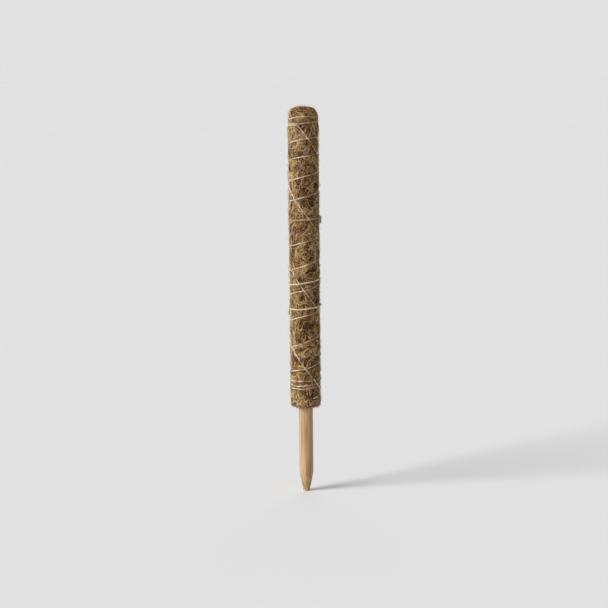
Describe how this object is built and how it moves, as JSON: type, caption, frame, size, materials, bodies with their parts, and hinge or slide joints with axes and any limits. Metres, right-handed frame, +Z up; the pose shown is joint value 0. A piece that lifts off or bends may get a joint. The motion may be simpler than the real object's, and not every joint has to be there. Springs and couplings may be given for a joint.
{
  "type": "moss pole",
  "caption": "Support for climbing plants: a wooden stake wrapped in brown coir, folded over at the top, bound with twine and fitted with jute ties, with a bare tapered shank to push into soil",
  "frame": {"origin": "on the pole's axis at the lower edge of the coir, where the bare shank begins and the soil line comes", "axes": "+Z up along the pole, -Y towards the viewer of the picture, +X to the right"},
  "size_m": [0.0554, 0.0558, 0.6],
  "materials": {
    "stake_wood": "bare turned softwood",
    "coir": "matted coconut fibre",
    "inner_coir": "matted coconut fibre",
    "twine": "twisted cotton",
    "jute": "twisted jute",
    "staple_steel": "galvanised wire"
  },
  "bodies": {
    "root": {"core_stake": "stake_wood", "inner_coir_wrap": "inner_coir", "crown_wad": "inner_coir", "outer_coir_mat": "coir", "binding_twine": "twine", "lower_staple_1": "staple_steel", "lower_staple_2": "staple_steel", "lower_staple_3": "staple_steel", "lower_staple_4": "staple_steel", "seam_staple_1": "staple_steel", "seam_staple_2": "staple_steel", "seam_staple_3": "staple_steel", "jute_tie_upper": "jute", "jute_tie_middle": "jute", "jute_tie_lower": "jute"}
  },
  "joints": []
}
